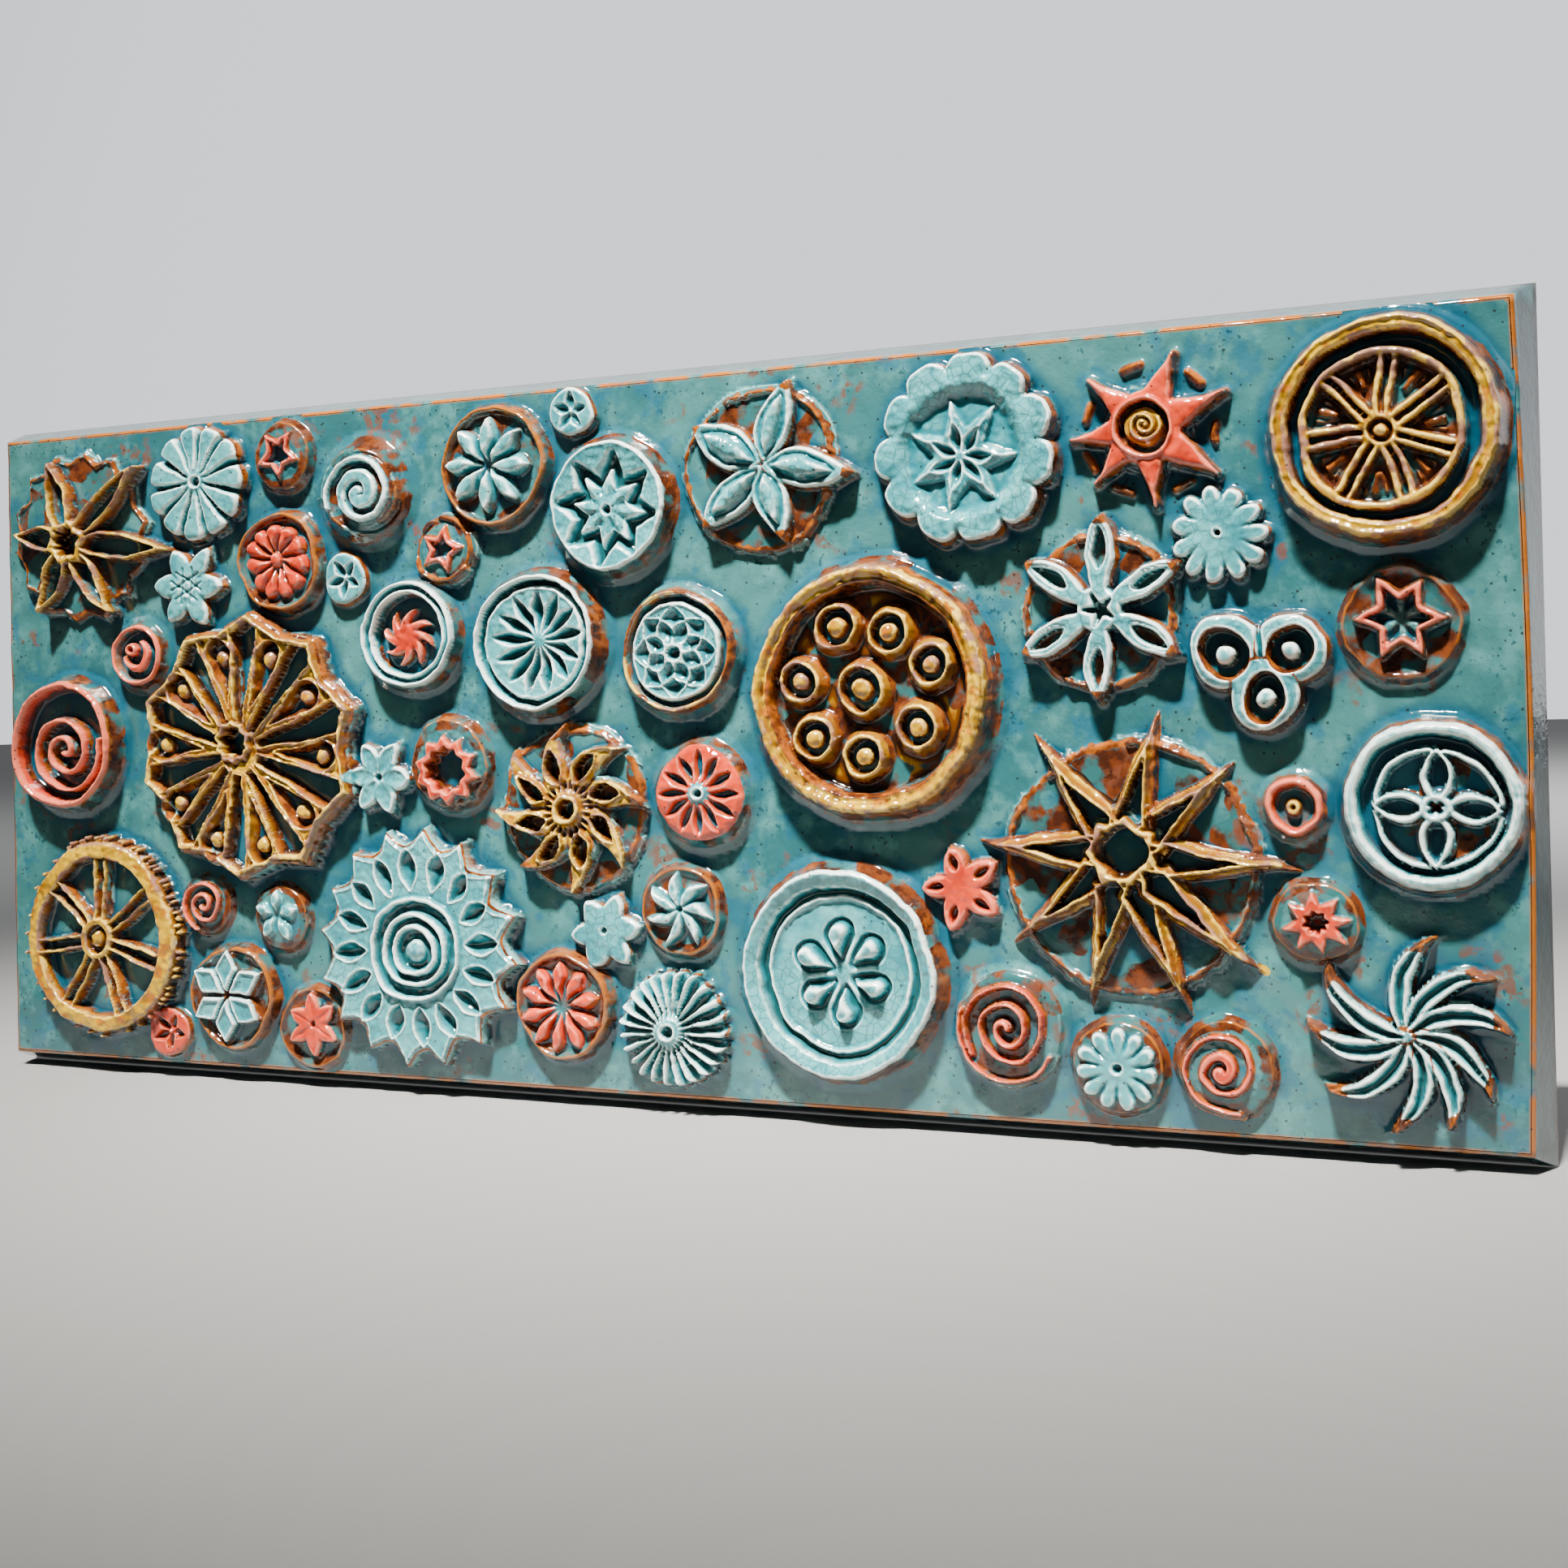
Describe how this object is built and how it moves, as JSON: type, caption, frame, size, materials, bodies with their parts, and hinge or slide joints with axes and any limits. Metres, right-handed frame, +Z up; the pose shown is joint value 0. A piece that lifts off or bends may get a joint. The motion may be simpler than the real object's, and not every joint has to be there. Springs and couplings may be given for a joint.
{
  "type": "relief wall tile",
  "caption": "Glazed stoneware wall tile, a long slab covered with round stars, flowers, wheels, dishes and coils in relief.",
  "frame": {"origin": "middle of the flat back face", "axes": "+X to the viewer's right along the long edge, +Y into the wall, +Z up"},
  "size_m": [0.475, 0.021, 0.208],
  "materials": {
    "teal_glaze": "gloss"
  },
  "bodies": {
    "root": {"tile": "teal_glaze"}
  },
  "joints": []
}
